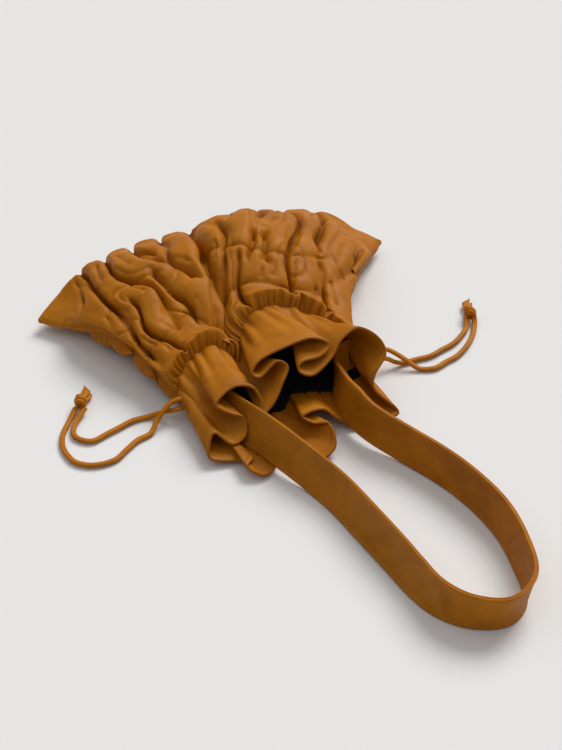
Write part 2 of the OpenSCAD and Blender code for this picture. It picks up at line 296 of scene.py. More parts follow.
NECK_Y = -0.115
EAR_Y = 0.090
BASE_BOW = 0.036
NECK_W = 0.216
BASE_W = 0.412
NECK_TILT = 1.2
NECK_H = 0.058
BODY_H = 0.084
PUFF = 0.016
PINCH_ROWS = (0.24, 0.50, 0.76)


def half_width(v):
    return lerp(NECK_W, BASE_W, 0.45 * v + 0.55 * v**4) / 2


def seam_height(a, v):
    """Height of the seam round the body: low at the ears, up at the sides and in the base's middle."""
    side = lerp(0.020, 0.028, ease(v / 0.45)) - 0.016 * ease((v - 0.55) / 0.45)
    base = 0.012 + 0.022 * (1 - np.abs(a)**2.5)
    return lerp(side, base, ease((v - 0.9) / 0.1))


def core_surface(columns, rows, front):
    """Points of the filled body, across from -1 to 1 and from the neck at 0 to the base seam at 1."""
    angle = np.linspace(-0.5 * math.pi, 0.5 * math.pi, columns)
    tail = np.linspace(0, 0.5 * math.pi, rows)
    a, v = np.meshgrid(np.sin(angle), 1 - (1 - np.sin(tail)) ** 0.8)
    rise = np.clip(1 - np.abs(a)**lerp(3.4, 2.6, v), 0, 1) ** lerp(0.55, 0.68, v)
    base_round = np.sqrt(np.clip(1 - (np.clip(v - 0.62, 0, 1) / 0.38)**2.2, 0, 1))
    seam = seam_height(a, v)
    narrower = 0.030 * (1 - ease((v - 0.3) / 0.5)) * (a > 0)
    tip_round = 0.006 * np.abs(a)**9 * ease((v - 0.88) / 0.12)**2
    x = a * (half_width(v) - 0.005 - narrower - tip_round)
    if front:
        crown = lerp(NECK_H, BODY_H, ease(v / 0.5)) - lerp(0.005, PUFF, ease(v / 0.15))
        from_valley = x - lerp(-0.036, -0.008, v)
        valley = lerp(0.024, 0.010, ease((v - 0.35) / 0.5)) * np.exp(-(from_valley / 0.014)**2)
        ridge = 0.007 * np.exp(-((from_valley - 0.045) / 0.030)**2)
        left = lerp(0.006, 0.008, v) * ease(-from_valley / 0.03)
        right = 0.005 * ease((from_valley - 0.07) / 0.04)
        sink = (valley + left + right - ridge) * np.sqrt(rise) * np.minimum(1, base_round + 0.1)
        z = seam + base_round * (crown - seam) * rise - sink
    else:
        z = seam + base_round * (0.0075 - seam) * rise
    base_edge = EAR_Y + BASE_BOW * (1 - np.abs(a)**4.5) - 0.002
    y = lerp(NECK_Y + NECK_TILT * z[:1], base_edge, v)
    return np.stack([x, y, z], axis=-1)


def even_core(columns, rows, front):
    """The filled body on an evenly spaced grid."""
    dense = core_surface(6 * columns, 6 * rows, front)
    lines = np.stack([resample(dense[:, j], rows) for j in range(dense.shape[1])], axis=1)
    return np.stack([resample(lines[i], columns) for i in range(rows)])


def surface_normals(grid, outward=1):
    across = np.gradient(grid, axis=1)
    along = np.gradient(grid, axis=0)
    return outward * unit(np.cross(across, along))


def neck_gathers(n):
    """How far the neck's small gathers stand out, for places n round a half of the neck."""
    return 0.0016 + 0.0010 * np.sin(46 * n + 1.7 * np.sin(9 * n)) + 0.0006 * np.sin(83 * n)


# The back panel's folds in each band between the elastics: their slant, and how many there are
BACK_SLANTS = (0.5, 0.3, -0.2, 0.3)
BACK_FOLDS = (8.5, 7.5, 7.0, 8.5)


def fold_pattern(shape, seed):
    """Heights from 0 to 1 of folds that run along the body, shift at each elastic, split and merge."""
    rows, cols = shape
    v = np.linspace(0, 1, rows)[:, None]
    u = np.linspace(-1, 1, cols)[None, :]
    bands = (0.0,) + PINCH_ROWS + (1.0,)
    height = np.zeros(shape)
    total = np.zeros(shape)
    for k, (slant, folds) in enumerate(zip(BACK_SLANTS, BACK_FOLDS)):
        centre = 0.5 * (bands[k] + bands[k + 1])
        reach = 0.60 * (bands[k + 1] - bands[k])
        weight = ease((1 - np.abs(v - centre) / reach) / 0.3) * np.ones(shape)
        warp = 0.8 * smooth_noise(shape, (4, 6), seed + 10 * k)
        warp = warp + 0.35 * smooth_noise(shape, (8, 13), seed + 10 * k + 1)
        phase = folds * (0.5 * u + slant * (v - centre)) + warp
        wave = 0.5 + 0.5 * np.sin(2 * math.pi * phase + 1.7 * k)
        height += weight * wave**0.7
        total += weight
    height /= np.maximum(total, 0.35)
    return np.clip(height * (0.8 + 0.35 * smooth_noise(shape, (7, 12), seed + 3)), 0, 1.2)


# Creases of the front panel: (half width in mm, depth, points), each point being a place across,
# from -1 to 1, and a place along, from the neck at 0 to the base at 1. Most run from the base to the
# neck, and the last four run across it.
FRONT_CREASES = [
    (20, 1.0, [(-0.05, 1.0), (-0.10, 0.7), (-0.20, 0.4), (-0.40, 0.0)]),
    (10, 0.8, [(-0.20, 1.0), (-0.25, 0.8), (-0.35, 0.6), (-0.30, 0.4)]),
    (11, 0.9, [(-0.35, 1.0), (-0.40, 0.75), (-0.35, 0.6)]),
    (12, 0.9, [(-0.50, 1.0), (-0.60, 0.7), (-0.55, 0.5), (-0.60, 0.2)]),
    (12, 0.9, [(-0.65, 1.0), (-0.75, 0.75), (-0.85, 0.4), (-0.90, 0.1)]),
    (9, 0.7, [(-0.75, 0.9), (-0.90, 0.7)]),
    (11, 0.9, [(-0.45, 0.6), (-0.50, 0.4), (-0.45, 0.1)]),
    (10, 0.8, [(-0.70, 0.5), (-0.75, 0.3), (-0.70, 0.0)]),
    (9, 0.7, [(0.10, 1.0), (0.15, 0.80), (0.10, 0.65)]),
    (10, 0.8, [(0.35, 0.65), (0.30, 0.45), (0.35, 0.25)]),
    (12, 0.8, [(0.05, 0.7), (0.05, 0.4), (-0.10, 0.1)]),
    (10, 1.0, [(0.25, 1.0), (0.30, 0.75), (0.25, 0.5), (0.20, 0.3)]),
    (10, 1.0, [(0.40, 1.0), (0.50, 0.7), (0.45, 0.4), (0.45, 0.0)]),
    (10, 0.9, [(0.55, 1.0), (0.65, 0.75), (0.65, 0.5)]),
    (12, 0.9, [(0.85, 0.9), (0.90, 0.6), (0.80, 0.3)]),
    (9, 0.8, [(0.15, 0.4), (0.10, 0.2), (0.15, 0.0)]),
    (10, 0.8, [(0.65, 0.4), (0.70, 0.2), (0.70, 0.0)]),
    (12, 0.35, [(-0.15, 0.55), (0.10, 0.45), (0.30, 0.35), (0.50, 0.35), (0.75, 0.45)]),
    (12, 0.35, [(-0.20, 0.20), (0.10, 0.20), (0.40, 0.15), (0.75, 0.20)]),
    (11, 0.35, [(-0.90, 0.55), (-0.70, 0.60), (-0.45, 0.55), (-0.25, 0.55)]),
    (11, 0.35, [(-0.95, 0.25), (-0.70, 0.20), (-0.45, 0.25)]),
]


CREASE_WANDER = 0.0035
SHORT_SPANS, LONG_SPANS = 3, 22


def elastic_gathers(seed):
    """Short creases across each row of elastic, where it bunches the leather."""
    r = np.random.default_rng(seed)
    creases = []
    for row in PINCH_ROWS:
        for across in np.arange(-0.90, 0.92, 0.13):
            across += r.uniform(-0.04, 0.04)
            middle = row + r.uniform(-0.03, 0.03)
            reach = r.uniform(0.05, 0.10)
            slant = r.uniform(-0.03, 0.03)
            creases.append((r.uniform(5, 8), r.uniform(0.2, 0.5),
                            [(across - slant, middle + reach), (across + slant, middle - reach)]))
    return creases


def panel_place(core, across, along):
    """Point of the body's surface at a place across, from -1 to 1, and along, from the neck at 0."""
    row = along * (len(core) - 1)
    column = (across + 1) / 2 * (core.shape[1] - 1)
    i, j = min(int(row), len(core) - 2), min(int(column), core.shape[1] - 2)
    low = lerp(core[i, j], core[i, j + 1], column - j)
    return lerp(low, lerp(core[i + 1, j], core[i + 1, j + 1], column - j), row - i)


def crease_height(core, creases, seed):
    """Height from 0 in the creases to 1 on the puffs between them, over the body's surface."""
    wander = np.stack([smooth_noise(core.shape[:2], (7, 11), seed + k) for k in range(3)], axis=-1)
    surface = core + CREASE_WANDER * wander
    height = np.ones(core.shape[:2])
    for half, depth, points in creases:
        spans = SHORT_SPANS if len(points) == 2 else LONG_SPANS
        line = [panel_place(core, across, along) for across, along in spline(points, spans + 1)]
        near = np.full(core.shape[:2], 1.0)
        at = np.zeros(core.shape[:2])
        for k, (a, b) in enumerate(zip(line[:-1], line[1:])):
            t = np.clip(((surface - a) @ (b - a)) / ((b - a) @ (b - a)), 0, 1)
            far = np.linalg.norm(surface - a - t[..., None] * (b - a), axis=-1)
            closer = far < near
            near = np.where(closer, far, near)
            at = np.where(closer, (k + t) / spans, at)
        fade = ease(np.minimum(at, 1 - at) / 0.18 + 0.25)
        wall = np.sqrt(1 - (1 - np.clip(near / (half * MM), 0, 1))**2)
        height = height * (1 - depth * fade * (1 - wall))
    return height


# The first grid's columns and rows, and for each level of finer grids: steps, resistance to bending
# over two and over four cells, and pressure
FIRST_GRID = (45, 29)
LEVELS = [(60, 0.15, 0.10, 0.0004), (120, 0.25, 0.15, 0.00018),
          (70, 0.4, 0.2, 0.00008), (30, 0.5, 0.2, 0.00003)]
EAR_CAP = 0.0026
# Grooves pressed into the relaxed leather: their share of a crease's width and of its depth, and the
# least depth of a crease that has one
GROOVE_WIDTH = 0.45
GROOVE_DEPTH = 0.85
GROOVE_LEAST = 0.5


def ruched_panel(name, front, seed, gather_across, gather_along, puff):
    """Leather gathered over the body: coarse folds first, then finer wrinkles on the same sheet."""
    outward = 1 if front else -1
    creases = elastic_gathers(seed) + (FRONT_CREASES if front else [])
    cols, rows = FIRST_GRID
    sheet = None
    levels = LEVELS
    for level, (steps, bend, far_bend, pressure) in enumerate(levels):
        core = even_core(cols, rows, front)
        shape = core.shape[:2]
        v = np.linspace(0, 1, rows)[:, None] * np.ones(shape)
        u = np.linspace(-1, 1, cols)[None, :] * np.ones(shape)
        normal = surface_normals(softened(core, 1 + 2 * level), outward)
        ear = ease((np.abs(u) - 0.62) / 0.25) * ease((v - 0.66) / 0.22)
        across = np.linalg.norm(np.diff(core, axis=1), axis=-1)
        along = np.linalg.norm(np.diff(core, axis=0), axis=-1)
        if front:
            puffs = crease_height(core, creases, seed)
        else:
            puffs = fold_pattern(shape, seed) * crease_height(core, creases, seed)
        wander = smooth_noise(shape, (6, 12), seed + 46)
        puffs = puffs * (1 - (0.10 if front else 0.24) * np.exp(-(wander / 0.09)**2))
        edge = np.minimum(np.minimum(v, 1.1 * (1 - v)) * 2.0, (1 - np.abs(u)) * 2.0)
        cap = lerp(0.0040, 0.0025 + puff * puffs, ease(edge / 0.12))
        cap = lerp(cap, EAR_CAP, ear)
        if level == 0:
            start = core + (0.8 * cap)[..., None] * normal
        else:
            start = finer(sheet.x)
            ripple = smooth_noise(shape, (26 * level, 44 * level), seed + 70 + level)
            ripple = ripple * 0.0008 / level * (1 - ear)
            start = start + ripple[..., None] * normal
        wide = lerp(lerp(gather_across + 0.10, gather_across - 0.08, v), 1.02, ear)
        tall = lerp(gather_along, 1.01, ear)
        sheet = Leather(start, across * 0.5 * (wide[:, 1:] + wide[:, :-1]),
                        along * 0.5 * (tall[1:] + tall[:-1]), core, normal, cap)
        sheet.pinned[:, 0] = sheet.pinned[:, -1] = sheet.pinned[-1] = sheet.pinned[0] = True
        sheet.x[:, 0], sheet.x[:, -1], sheet.x[-1] = core[:, 0], core[:, -1], core[-1]
        sheet.x[0] = core[0] + neck_gathers(u[0])[:, None] * normal[0]
        sheet.x[0, 0], sheet.x[0, -1] = core[0, 0], core[0, -1]
        sheet.relax(steps, bend, far_bend, pressure, gap=0.12 * across.mean())
        cols, rows = 2 * cols - 1, 2 * rows - 1
    sharp = [(GROOVE_WIDTH * half, depth, points) for half, depth, points in creases
             if depth > GROOVE_LEAST]
    grooves = crease_height(core, sharp, seed)
    height = ((sheet.x - core) * normal).sum(-1)
    sheet.x -= (GROOVE_DEPTH * height * (1 - grooves))[..., None] * normal
    piece = grid_object(name, softened(sheet.x, 1))
    if not front:
        piece.data.flip_normals()
    return piece, core


# ---------------------------------------------------------------- tubes, ribbons and stitches


def frames_along(path, up):
    """Side and top vectors along a path, from an up vector for all of it or for each point."""
    tangent = unit(np.gradient(path, axis=0))
    side = unit(np.cross(tangent, np.asarray(up, float)))
    return side, np.cross(side, tangent)


def swept(name, path, section, up=(0, 0, 1)):
    """Mesh tube, closed at both ends: a section, as (side, up) pairs, swept along a path."""
    side, top = frames_along(path, up)
    section = np.asarray(section, float)
    if section.ndim == 2:
        section = np.repeat(section[None], len(path), axis=0)
    rings = (path[:, None] + section[..., :1] * side[:, None] + section[..., 1:] * top[:, None])
    rings[..., 2] = np.maximum(rings[..., 2], LOWEST)
    piece = grid_object(name, rings, closed_cols=True)
    mesh = bmesh.new()
    mesh.from_mesh(piece.data)
    mesh.verts.ensure_lookup_table()
    count = rings.shape[1]
    mesh.faces.new([mesh.verts[i] for i in range(count)])
    last = len(mesh.verts) - count
    mesh.faces.new([mesh.verts[last + i] for i in reversed(range(count))])
    bmesh.ops.recalc_face_normals(mesh, faces=mesh.faces)
    mesh.to_mesh(piece.data)
    mesh.free()
    return piece


def oval(width, height, count=12, groove=0.0):
    """Closed oval section, with an optional groove along its top."""
    angle = np.linspace(0, 2 * math.pi, count, endpoint=False)
    dent = 1 - groove * np.exp(-((angle - 0.5 * math.pi) / 0.35)**2)
    return np.stack([0.5 * width * np.cos(angle), 0.5 * height * np.sin(angle) * dent], axis=1)


# A stitch's rings: place along it and thickness, as shares of its length and width
STITCH_RINGS = ((-0.5, 0.35), (-0.25, 0.9), (0.25, 0.9), (0.5, 0.35))
STITCH_SIDES = 5


def stitches(name, lines, material, length, pitch, width):
    """A row of short rounded threads along each line of (points, outward normals)."""
    verts, faces = [], []
    for points, normals in lines:
        along = distance_along(points)
        at = np.arange(pitch, along[-1] - pitch, pitch)
        place = looked_up(at, along, points)
        ahead = looked_up(at + MM, along, points)
        out = unit(looked_up(at, along, normals))
        forward = unit(ahead - place)
        side = unit(np.cross(forward, out))
        for p, f, s, o in zip(place, forward, side, out):
            first = len(verts)
            for shift, size in STITCH_RINGS:
                for k in range(STITCH_SIDES):
                    angle = 2 * math.pi * k / STITCH_SIDES
                    verts.append(p + f * shift * length + 0.5 * width * size
                                 * (math.cos(angle) * s + (math.sin(angle) + 0.35) * o))
            last = len(verts) - STITCH_SIDES
            for ring in range(first, last, STITCH_SIDES):
                for k in range(STITCH_SIDES):
                    a = ring + k
                    b = ring + (k + 1) % STITCH_SIDES
                    faces.append((a, b, b + STITCH_SIDES, a + STITCH_SIDES))
            faces.append(tuple(first + k for k in reversed(range(STITCH_SIDES))))
            faces.append(tuple(last + k for k in range(STITCH_SIDES)))
    mesh = bpy.data.meshes.new(name)
    mesh.from_pydata([tuple(v) for v in verts], [], faces)
    mesh.polygons.foreach_set("use_smooth", [True] * len(mesh.polygons))
    piece = new_object(name, mesh)
    piece.data.materials.append(material)
    return piece


# ---------------------------------------------------------------- materials


class Look:
    """Helper that wires a procedural material."""

    def __init__(self, name):
        self.material = bpy.data.materials.new(name)
        self.material.use_nodes = True
        self.tree = self.material.node_tree
        self.shader = self.tree.nodes["Principled BSDF"]
        self.place = self.add("ShaderNodeTexCoord").outputs["Object"]

    def add(self, kind, **settings):
        node = self.tree.nodes.new(kind)
        for key, value in settings.items():
            setattr(node, key, value)
        return node

    def link(self, out, into):
        self.tree.links.new(out, into)

    def noise(self, scale, detail=4, rough=0.55, distortion=0.0):
        node = self.add("ShaderNodeTexNoise")
        node.inputs["Scale"].default_value = scale
        node.inputs["Detail"].default_value = detail
        node.inputs["Roughness"].default_value = rough
        node.inputs["Distortion"].default_value = distortion
        self.link(self.place, node.inputs["Vector"])
        return node.outputs["Fac"]

    def cells(self, scale, feature="F1"):
        node = self.add("ShaderNodeTexVoronoi", feature=feature)
        node.inputs["Scale"].default_value = scale
        self.link(self.place, node.inputs["Vector"])
        return node.outputs["Distance"]

    def bands(self, scale, distortion=0.0):
        node = self.add("ShaderNodeTexWave", wave_type="BANDS", bands_direction="DIAGONAL")
        node.inputs["Scale"].default_value = scale
        node.inputs["Distortion"].default_value = distortion
        self.link(self.place, node.inputs["Vector"])
        return node.outputs["Fac"]

    def ramp(self, value, stops):
        node = self.add("ShaderNodeValToRGB")
        ramp = node.color_ramp
        while len(ramp.elements) < len(stops):
            ramp.elements.new(0.5)
        for element, (at, colour) in zip(ramp.elements, stops):
            element.position = at
            element.color = (*colour, 1)
        self.link(value, node.inputs["Fac"])
        return node.outputs["Color"]

    def mix(self, a, b, factor, mode="MIX"):
        node = self.add("ShaderNodeMix", data_type="RGBA", blend_type=mode)
        self.link(a, node.inputs[6])
        self.link(b, node.inputs[7])
        if isinstance(factor, float):
            node.inputs["Factor"].default_value = factor
        else:
            self.link(factor, node.inputs["Factor"])
        return node.outputs[2]

    def range(self, value, low, high, to_low, to_high):
        node = self.add("ShaderNodeMapRange")
        for slot, number in zip(("From Min", "From Max", "To Min", "To Max"),
                                (low, high, to_low, to_high)):
            node.inputs[slot].default_value = number
        self.link(value, node.inputs["Value"])
        return node.outputs["Result"]

    def bump(self, layers):
        """Chains bump nodes: each layer is (height, strength, distance in metres)."""
        normal = None
        for height, strength, distance in layers:
            node = self.add("ShaderNodeBump")
            node.inputs["Strength"].default_value = strength
            node.inputs["Distance"].default_value = distance
            self.link(height, node.inputs["Height"])
            if normal is not None:
                self.link(normal, node.inputs["Normal"])
            normal = node.outputs["Normal"]
        self.link(normal, self.shader.inputs["Normal"])


LEATHER_DARK = (0.215, 0.060, 0.0012)
LEATHER_MID = (0.405, 0.132, 0.0022)
LEATHER_LIGHT = (0.520, 0.185, 0.0050)
LEATHER_WORN = (0.60, 0.27, 0.04)
# Colour multiplied into the leather's hollows: painted shade in the creases
CREASE_PAINTED_SHADE = (0.30, 0.22, 0.15)
PORE_TINT = (0.82, 0.80, 0.78)
BLACK, WHITE = (0, 0, 0), (1, 1, 1)


def leather_look(name, tone=1.0, grain=1.0, gloss=0.50):
    """Leather with cloudy dye, worn ridges, painted shade in its creases, pores and a fine grain."""
    look = Look(name)
    dark, mid, light, bare = (tuple(tone * c for c in colour) for colour in
                              (LEATHER_DARK, LEATHER_MID, LEATHER_LIGHT, LEATHER_WORN))
    cloudy = look.ramp(look.noise(22, 5, 0.6, 0.6), [(0.30, dark), (0.52, mid), (0.78, light)])
    even = look.ramp(look.noise(60, 3), [(0.3, mid), (0.8, light)])
    colour = look.mix(cloudy, even, 0.55)
    pointy = look.add("ShaderNodeNewGeometry").outputs["Pointiness"]
    worn = look.ramp(look.range(pointy, 0.53, 0.62, 0, 1), [(0, BLACK), (1, (0.45, 0.45, 0.45))])
    pale = look.ramp(look.noise(300, 2), [(0.2, light), (0.9, bare)])
    colour = look.mix(colour, pale, worn)
    # Painted shade: the colour is darkened where the surface is hollow (low pointiness), in the creases
    crease = look.ramp(look.range(pointy, 0.40, 0.49, 0, 1), [(0, CREASE_PAINTED_SHADE), (1, WHITE)])
    colour = look.mix(colour, crease, 1.0, "MULTIPLY")
    pores = look.ramp(look.cells(1500), [(0.0, PORE_TINT), (0.35, WHITE)])
    colour = look.mix(colour, pores, 0.5, "MULTIPLY")
    look.link(colour, look.shader.inputs["Base Color"])
    rough = look.range(look.noise(140, 4), 0.3, 0.75, gloss - 0.07, gloss + 0.12)
    look.link(rough, look.shader.inputs["Roughness"])
    look.shader.inputs["Specular IOR Level"].default_value = 0.12
    look.shader.inputs["Coat Weight"].default_value = 0.02
    look.shader.inputs["Coat Roughness"].default_value = 0.35
    look.shader.inputs["Sheen Weight"].default_value = 0.0
    look.bump([(look.noise(95, 4, 0.5, 1.2), 0.30 * grain, 0.0014),
               (look.noise(420, 3, 0.6, 0.8), 0.35 * grain, 0.0004),
               (look.cells(1300, "SMOOTH_F1"), 0.35 * grain, 0.00025)])
    return look.material


def lining_look(name):
    """Black twill."""
    look = Look(name)
    weave = look.bands(700, 1.5)
    colour = look.ramp(weave, [(0, (0.004, 0.004, 0.004)), (1, (0.014, 0.013, 0.013))])
    look.link(colour, look.shader.inputs["Base Color"])
    look.shader.inputs["Roughness"].default_value = 0.8
    look.shader.inputs["Specular IOR Level"].default_value = 0.15
    look.shader.inputs["Sheen Weight"].default_value = 0.03
    look.bump([(look.noise(70, 3), 0.4, 0.002), (weave, 0.4, 0.0003)])
    return look.material


def thread_look(name):
    """Twisted tan thread."""
    look = Look(name)
    twist = look.bands(900)
    colour = look.ramp(twist, [(0, (0.38, 0.155, 0.022)), (1, (0.60, 0.29, 0.075))])
    look.link(colour, look.shader.inputs["Base Color"])
    look.shader.inputs["Roughness"].default_value = 0.6
    look.bump([(twist, 0.5, 0.0002)])
    return look.material


body_leather = leather_look("body_leather", grain=1.2)
collar_leather = leather_look("collar_leather", tone=0.97, grain=0.7)
strap_leather = leather_look("strap_leather", tone=0.95, grain=0.8)
cord_leather = leather_look("cord_leather", tone=1.05, grain=0.8, gloss=0.44)
lining_cloth = lining_look("lining_cloth")
thread = thread_look("thread")


def finish_piece(piece, body, material, replaces):
    """Gives a piece its material, unless it has one, and its body, unless none is given."""
    if material is not None:
        piece.data.materials.append(material)
    if body is not None:
        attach(piece, body)
    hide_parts(*replaces)


# ---------------------------------------------------------------- drawstrings

CORD_D = 0.0055
CORD_H = 0.0046
EXIT_X, EXIT_Y = 0.108, -0.103
LIE = 2.75
# Routes of the four strands, in mm from their exits, as (x, y, height over the floor)
LEFT_FRONT = [(36, 3, 21), (10, 3, 21), (-5, 3, 20), (-15, 0, 15), (-25, -5, 8), (-35, -15, LIE),
              (-50, -20, LIE), (-65, -30, LIE), (-80, -40, LIE), (-100, -40, LIE), (-115, -30, LIE),
              (-120, -15, LIE), (-120, 0, LIE), (-115, 15, LIE), (-105, 30, LIE), (-92, 46, 6)]
LEFT_BACK = [(36, -2, 14), (10, -2, 14), (-5, -2, 13), (-15, 5, 8), (-30, 10, LIE), (-45, 10, LIE),
             (-60, 5, LIE), (-75, 0, LIE), (-90, -5, LIE), (-100, 0, LIE), (-105, 10, LIE),
             (-100, 25, LIE), (-84, 42, 6)]
RIGHT_FRONT = [(-36, 3, 21), (-10, 3, 21), (5, 3, 20), (15, 0, 15), (25, -10, 9), (35, -20, LIE),
               (50, -25, LIE), (65, -20, LIE), (80, -15, LIE), (95, -5, LIE), (110, 10, LIE),
               (120, 25, LIE), (124, 34, 6)]
RIGHT_BACK = [(-36, -2, 14), (-10, -2, 14), (5, -3, 12), (15, -5, 6), (25, -5, LIE), (40, -5, LIE),
              (55, -5, LIE), (70, 0, LIE), (85, 5, LIE), (100, 15, LIE), (110, 25, LIE),
              (116, 38, 6)]


def cord_section(count):
    """Folded leather: two rounded ridges side by side with a groove between them."""
    return oval(CORD_D, CORD_H, count, groove=0.30)


def drawstring_body(side):
    return "left_drawstring" if side < 0 else "right_drawstring"


def make_cord(name, side, route):
    """A free strand, from just inside the channel to its knot."""
    path = np.array([(side * EXIT_X + MM * x, EXIT_Y + MM * y, MM * z) for x, y, z in route])
    path = spline(path, 200)
    path = path[np.abs(path[:, 0]) > EXIT_X - (0.008 if side < 0 else 0.026)]
    piece = swept(name, path, cord_section(18))
    finish_piece(piece, drawstring_body(side), cord_leather,
                 [name.replace("cord", "strand")])


def joined(name, pieces):
    """One object made of several."""
    with bpy.context.temp_override(active_object=pieces[0], object=pieces[0],
                                   selected_objects=pieces, selected_editable_objects=pieces):
        bpy.ops.object.join()
    pieces[0].name = name
    return pieces[0]


KNOT_Z = 0.0085
KNOT_TURNS = 2.3
KNOT_LENGTH = 0.0112
WRAP_RADIUS = 0.0040
# The two tails: shift across, lift and reach
TAILS = ((-0.0016, 0.0022, 0.023), (0.0018, 0.0040, 0.028))


def make_knot(name, side, place, angle):
    """The knot of two strands: wraps round them, and two flat tails cut at a slant."""
    along = np.array([math.cos(math.radians(angle)), math.sin(math.radians(angle)), 0])
    across = np.array([-along[1], along[0], 0])
    up = np.array([0, 0, 1.0])
    centre = np.array([MM * place[0], MM * place[1], KNOT_Z])
    turn = np.linspace(0, 2 * math.pi * KNOT_TURNS, 130)[:, None]
    share = turn / turn[-1]
    radius = WRAP_RADIUS * np.clip(np.minimum(share, 1 - share) / 0.09, 0.25, 1)
    wraps = (centre + radius * (np.cos(turn) * across + np.sin(turn) * up)
             + along * (KNOT_LENGTH * (share - 0.5) + 0.0012 * np.sin(turn + 1)))
    wraps[:, 2] = np.maximum(wraps[:, 2], 0.0029)
    coil = swept(name + "_coil", wraps, oval(0.0050, 0.0044, 14, groove=0.30), up=along)
    pieces = [coil]
    for shift, lift, reach in TAILS:
        s = np.linspace(0, 1, 30)[:, None]
        bend = 0.002 * np.sin(2.2 * s) * across * side
        tail = (centre + along * (0.004 + reach * s) + across * (shift * (1 - 0.3 * s)) + bend
                + up * (lift - 0.006 - 0.003 * s))
        tail[:, 2] = np.maximum(tail[:, 2], 0.0020)
        width = lerp(0.0052, 0.0085, ease(s[:, 0] / 0.5))
        point = np.clip((1 - s[:, 0]) / 0.32, 0.06, 1)
        size = np.stack([width * point, np.full(len(width), 0.0026)], 1)
        section = oval(1.0, 1.0, 12)[None] * size[:, None]
        section[..., 0] += (0.5 * width * (1 - point))[:, None] * side
        pieces.append(swept(name + "_tail", tail, section))
    piece = joined(name + "_wraps", pieces)
    finish_piece(piece, drawstring_body(side), cord_leather, [name])
    return piece


left_knot = make_knot("left_knot", -1, (-194, -53), 60)
right_knot = make_knot("right_knot", 1, (230, -63), 66)
make_cord("left_cord_front", -1, LEFT_FRONT)
make_cord("left_cord_back", -1, LEFT_BACK)
make_cord("right_cord_front", 1, RIGHT_FRONT)
make_cord("right_cord_back", 1, RIGHT_BACK)

# ---------------------------------------------------------------- the two ruched panels

front_piece, front_core = ruched_panel("front_leather", True, 11, 1.33, 1.06, 0.0170)
back_piece, back_core = ruched_panel("back_leather", False, 23, 1.28, 1.08, 0.0140)
finish_piece(front_piece, "bag", body_leather, ["front_panel", "front_elastics"])
finish_piece(back_piece, "bag", body_leather, ["back_panel", "back_elastics"])

# ---------------------------------------------------------------- collar

LAYER = 0.0012
COLLAR_DEPTH = 0.078
STITCH_INSET = 0.0046
STITCH_DENT = 0.0005
HEM_BEAD = 0.0004
PLEAT_H = 0.0013
COLLAR_LOWEST = 0.0022
FACING_END = 0.30
HEM_Y = -193
HEM_TILT = 1.1
# Upper hem as (x, z, place round the neck's front half), from the left seam to the right
UPPER_HEM = [(-105, 15, -1.0), (-95, 25, -0.95), (-80, 15, -0.90), (-65, 19, -0.85), (-62, 29, -0.80),
             (-75, 35, -0.76), (-85, 42, -0.70), (-75, 48, -0.62), (-60, 51, -0.54), (-45, 47, -0.45),
             (-41, 37, -0.39), (-46, 28, -0.34), (-30, 34, -0.29), (-15, 46, -0.26), (-6, 55, -0.22),
             (-15, 60, -0.18), (-35, 53, -0.13), (-42, 57, -0.08), (-30, 64, -0.02), (-5, 68, 0.10),
             (25, 70, 0.22), (42, 63, 0.31), (30, 57, 0.34), (10, 56, 0.37), (5, 50, 0.39),
             (18, 46, 0.42), (40, 54, 0.48), (55, 64, 0.54), (75, 69, 0.63), (92, 60, 0.74),
             (95, 48, 0.83), (78, 36, 0.91), (74, 26, 0.95), (90, 10, 1.0)]
# Lower hem as (x, y, z, place round the neck's back half), from the right seam to the left
LOWER_HEM = [(85, -186, 6, 0.94), (65, -188, 4, 0.80), (45, -184, 4, 0.66), (30, -177, 12, 0.46),
             (15, -171, 25, 0.30), (-7, -174, 25, 0.20), (2, -181, 19, 0.12), (15, -190, 20, 0.03),
             (12, -210, 10, -0.08), (-5, -217, 5, -0.16), (-15, -202, 5, -0.26),
             (-20, -186, 13, -0.34), (-35, -190, 6, -0.44), (-50, -210, 4, -0.57),
             (-65, -219, 5, -0.65), (-78, -210, 12, -0.74), (-68, -197, 10, -0.80),
             (-80, -190, 5, -0.88), (-103, -183, 8, -0.97)]


def body_ring(place, v, inset):
    """Points round the filled body at v, at places from 0 to 4 round the neck, inset from it."""
    ring = np.zeros((len(place), 3))
    n = np.where(place <= 2, place - 1, 3 - place)
    for core, outward, here in ((front_core, 1, place <= 2), (back_core, -1, place > 2)):
        row = int(round(v * (len(core) - 1)))
        out = surface_normals(softened(core, 7), outward)[row]
        line = core[row] - inset * out
        if inset == 0:
            line = line + neck_gathers(np.linspace(-1, 1, len(line)))[:, None] * out
            line[0], line[-1] = core[row][0], core[row][-1]
        index = np.arange(len(line))
        ring[here] = looked_up((n[here] + 1) / 2 * (len(line) - 1), index, line)
    return ring


def hem_and_neck(count):
    """The closed hem, the neck's points that it hangs from, and their places, from 0 to 4."""
    upper = [(x, HEM_Y + HEM_TILT * z, z, 1 + n) for x, z, n in UPPER_HEM]
    lower = [(x, y, z, 3 - n) for x, y, z, n in LOWER_HEM]
    ends = upper + lower + [(upper[0][0], upper[0][1], upper[0][2], 4.0)]
    curve = spline(np.array(ends, float), count)
    place = np.maximum.accumulate(np.clip(curve[:, 3], 0, 4))
    return curve[:, :3] * MM, body_ring(place, 0, 0), place


def ring_smoothed(ring, reach):
    """A closed ring of points or normals, averaged over reach neighbours on each side."""
    window = np.hanning(2 * reach + 3)[1:-1]
    padded = np.vstack([ring[-reach - 1:-1], ring, ring[1:reach + 1]])
    window = window / window.sum()
    return np.stack([np.convolve(padded[:, k], window, "valid") for k in range(3)], axis=1)


def ring_normals(grid):
    """Outward normals of a grid whose last column is its first."""
    return surface_normals(np.hstack([grid[:, -2:-1], grid, grid[:, 1:2]]), -1)[:, 1:-1]


